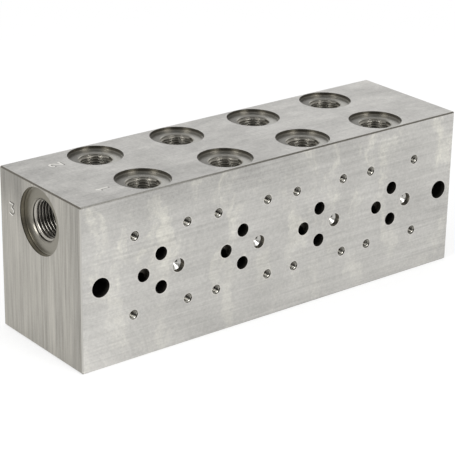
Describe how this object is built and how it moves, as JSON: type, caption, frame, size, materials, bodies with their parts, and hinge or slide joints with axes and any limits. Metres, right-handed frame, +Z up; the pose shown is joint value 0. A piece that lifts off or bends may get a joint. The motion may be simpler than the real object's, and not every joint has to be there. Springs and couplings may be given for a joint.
{
  "type": "hydraulic manifold block",
  "caption": "Steel bar manifold that carries side-by-side directional valves, with a common tank and pump gallery and threaded work ports on top.",
  "frame": {"origin": "centre of the bottom face's bounding rectangle", "axes": "+X along the block, from the tank port end to the pump port end; -Y out of the valve face; +Z up, out of the work ports"},
  "size_m": [0.24, 0.07, 0.085],
  "materials": {
    "machined_steel": "bare milled and ground steel, faint tool lines and light oil stains"
  },
  "bodies": {
    "root": {"manifold_block": "machined_steel"}
  },
  "joints": []
}
